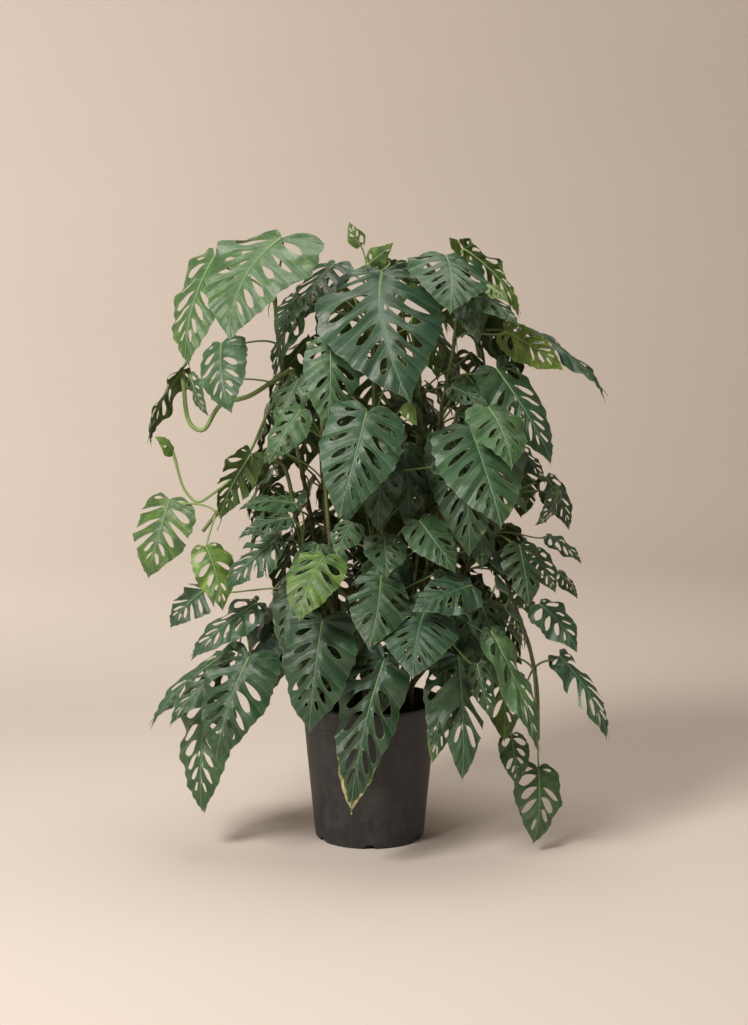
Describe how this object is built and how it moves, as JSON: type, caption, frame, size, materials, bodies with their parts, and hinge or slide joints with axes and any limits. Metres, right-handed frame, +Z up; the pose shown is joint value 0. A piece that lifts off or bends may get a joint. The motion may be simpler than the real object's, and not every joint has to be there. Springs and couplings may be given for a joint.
{
  "type": "potted swiss cheese vine",
  "caption": "Bushy climbing house plant with holed, pointed leaves on long stems, standing in a round black nursery pot of soil.",
  "frame": {"origin": "middle of the pot's flat base, on the floor", "axes": "+Z up, +X to the right and -Y towards the side that shows in the picture"},
  "size_m": [0.8272, 0.626, 1.0861],
  "materials": {
    "pot": "matte",
    "soil": "matte",
    "leaf": "satin"
  },
  "bodies": {
    "root": {"pot": "pot", "soil": "soil", "stem_upper_left": "leaf", "stem_mid_left": "leaf", "stem_lower_left": "leaf", "stem_top": "leaf", "stem_upper_right": "leaf", "stem_centre_left": "leaf", "stem_centre": "leaf", "stem_centre_right": "leaf", "stem_mid_right": "leaf", "stem_lower_right": "leaf", "stem_front": "leaf", "stem_back_left": "leaf", "stem_back": "leaf", "stem_back_right": "leaf"}
  },
  "joints": []
}
